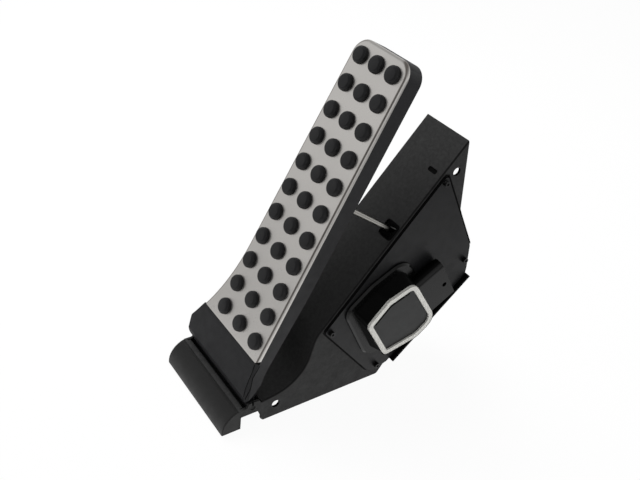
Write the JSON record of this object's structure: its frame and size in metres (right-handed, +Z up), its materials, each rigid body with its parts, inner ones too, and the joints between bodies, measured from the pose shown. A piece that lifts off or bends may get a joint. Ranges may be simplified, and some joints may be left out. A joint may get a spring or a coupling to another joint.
{
  "type": "accelerator pedal",
  "caption": "Floor-hinged accelerator pedal with a studded steel tread, folded sheet pedal box, rounded heel bar, push rod and side-mounted rotary position sensor with plug socket.",
  "frame": {"origin": "on the floor under the middle of the heel bar's length", "axes": "+Z up from the floor, +Y forward from heel to toe, +X across the pedal towards the sensor side"},
  "size_m": [0.1115, 0.2171, 0.258],
  "materials": {
    "box_paint": "fine-grained matte powder coat",
    "cover_paint": "satin paint",
    "screw_steel": "black oxide with bright worn rims",
    "zinc_steel": "zinc plated",
    "heel_rubber": "smooth moulded, satin",
    "mat_rubber": "matte moulded",
    "body_plastic": "fine moulded grain",
    "tread_steel": "brushed stainless",
    "pin_steel": "ground, oiled",
    "bush_plastic": "self-oiling plastic",
    "sensor_plastic": "moulded, slight sheen",
    "seal_rubber": "matte",
    "rim_plastic": "cream moulding",
    "lid_plastic": "potted, semi-gloss",
    "terminal_brass": "tinned brass",
    "rod_steel": "bright drawn wire",
    "spring_steel": "oil-tempered wire"
  },
  "bodies": {
    "bracket": {"pedal_box": "box_paint", "toe_plate": "box_paint", "side_cover": "cover_paint", "cover_screws": "screw_steel", "rivet_nuts": "zinc_steel", "slot_plug": "bush_plastic", "heel_bar": "heel_rubber", "heel_screws": "screw_steel", "hinge_pin": "pin_steel", "shaft_bush_left": "bush_plastic", "shaft_bush_right": "bush_plastic", "spring_peg": "zinc_steel", "stop_peg": "zinc_steel", "stop_sleeve": "mat_rubber", "sensor_housing": "sensor_plastic", "sensor_seal": "seal_rubber", "sensor_rim": "rim_plastic", "sensor_lid": "lid_plastic", "sensor_screws": "screw_steel", "connector_terminals": "terminal_brass", "return_spring_left": "spring_steel", "return_spring_right": "spring_steel"},
    "pedal": {"pedal_body": "body_plastic", "rubber_mat": "mat_rubber", "tread_plate": "tread_steel", "hinge_bushes": "bush_plastic"},
    "rod": {"push_rod": "rod_steel", "rod_clip": "zinc_steel"},
    "lever": {"lever_arm": "zinc_steel", "lever_shaft": "pin_steel", "lever_peg": "zinc_steel"}
  },
  "joints": [
    {"name": "pedal_hinge", "type": "hinge", "parent": "bracket", "child": "pedal", "pos_m": [0, 0.0165, 0.0167], "axis": [-1, 0, 0], "range_deg": [0, 12], "stiffness_Nm_per_rad": 15, "springref_deg": -11.46},
    {"name": "lever_pivot", "type": "hinge", "parent": "bracket", "child": "lever", "pos_m": [0.03, 0.1295, 0.0696], "axis": [-1, 0, 0], "range_deg": [0, 36.5], "deforming": ["return_spring_left", "return_spring_right"]},
    {"name": "rod_pivot", "type": "hinge", "parent": "pedal", "child": "rod", "pos_m": [0.03037, 0.08848, 0.16128], "axis": [1, 0, 0], "range_deg": [0, 8]}
  ],
  "couplings": [
    {"joint": "lever_pivot", "follows": "pedal_hinge", "ratio": 3},
    {"joint": "rod_pivot", "follows": "pedal_hinge", "ratio": 0.64}
  ]
}
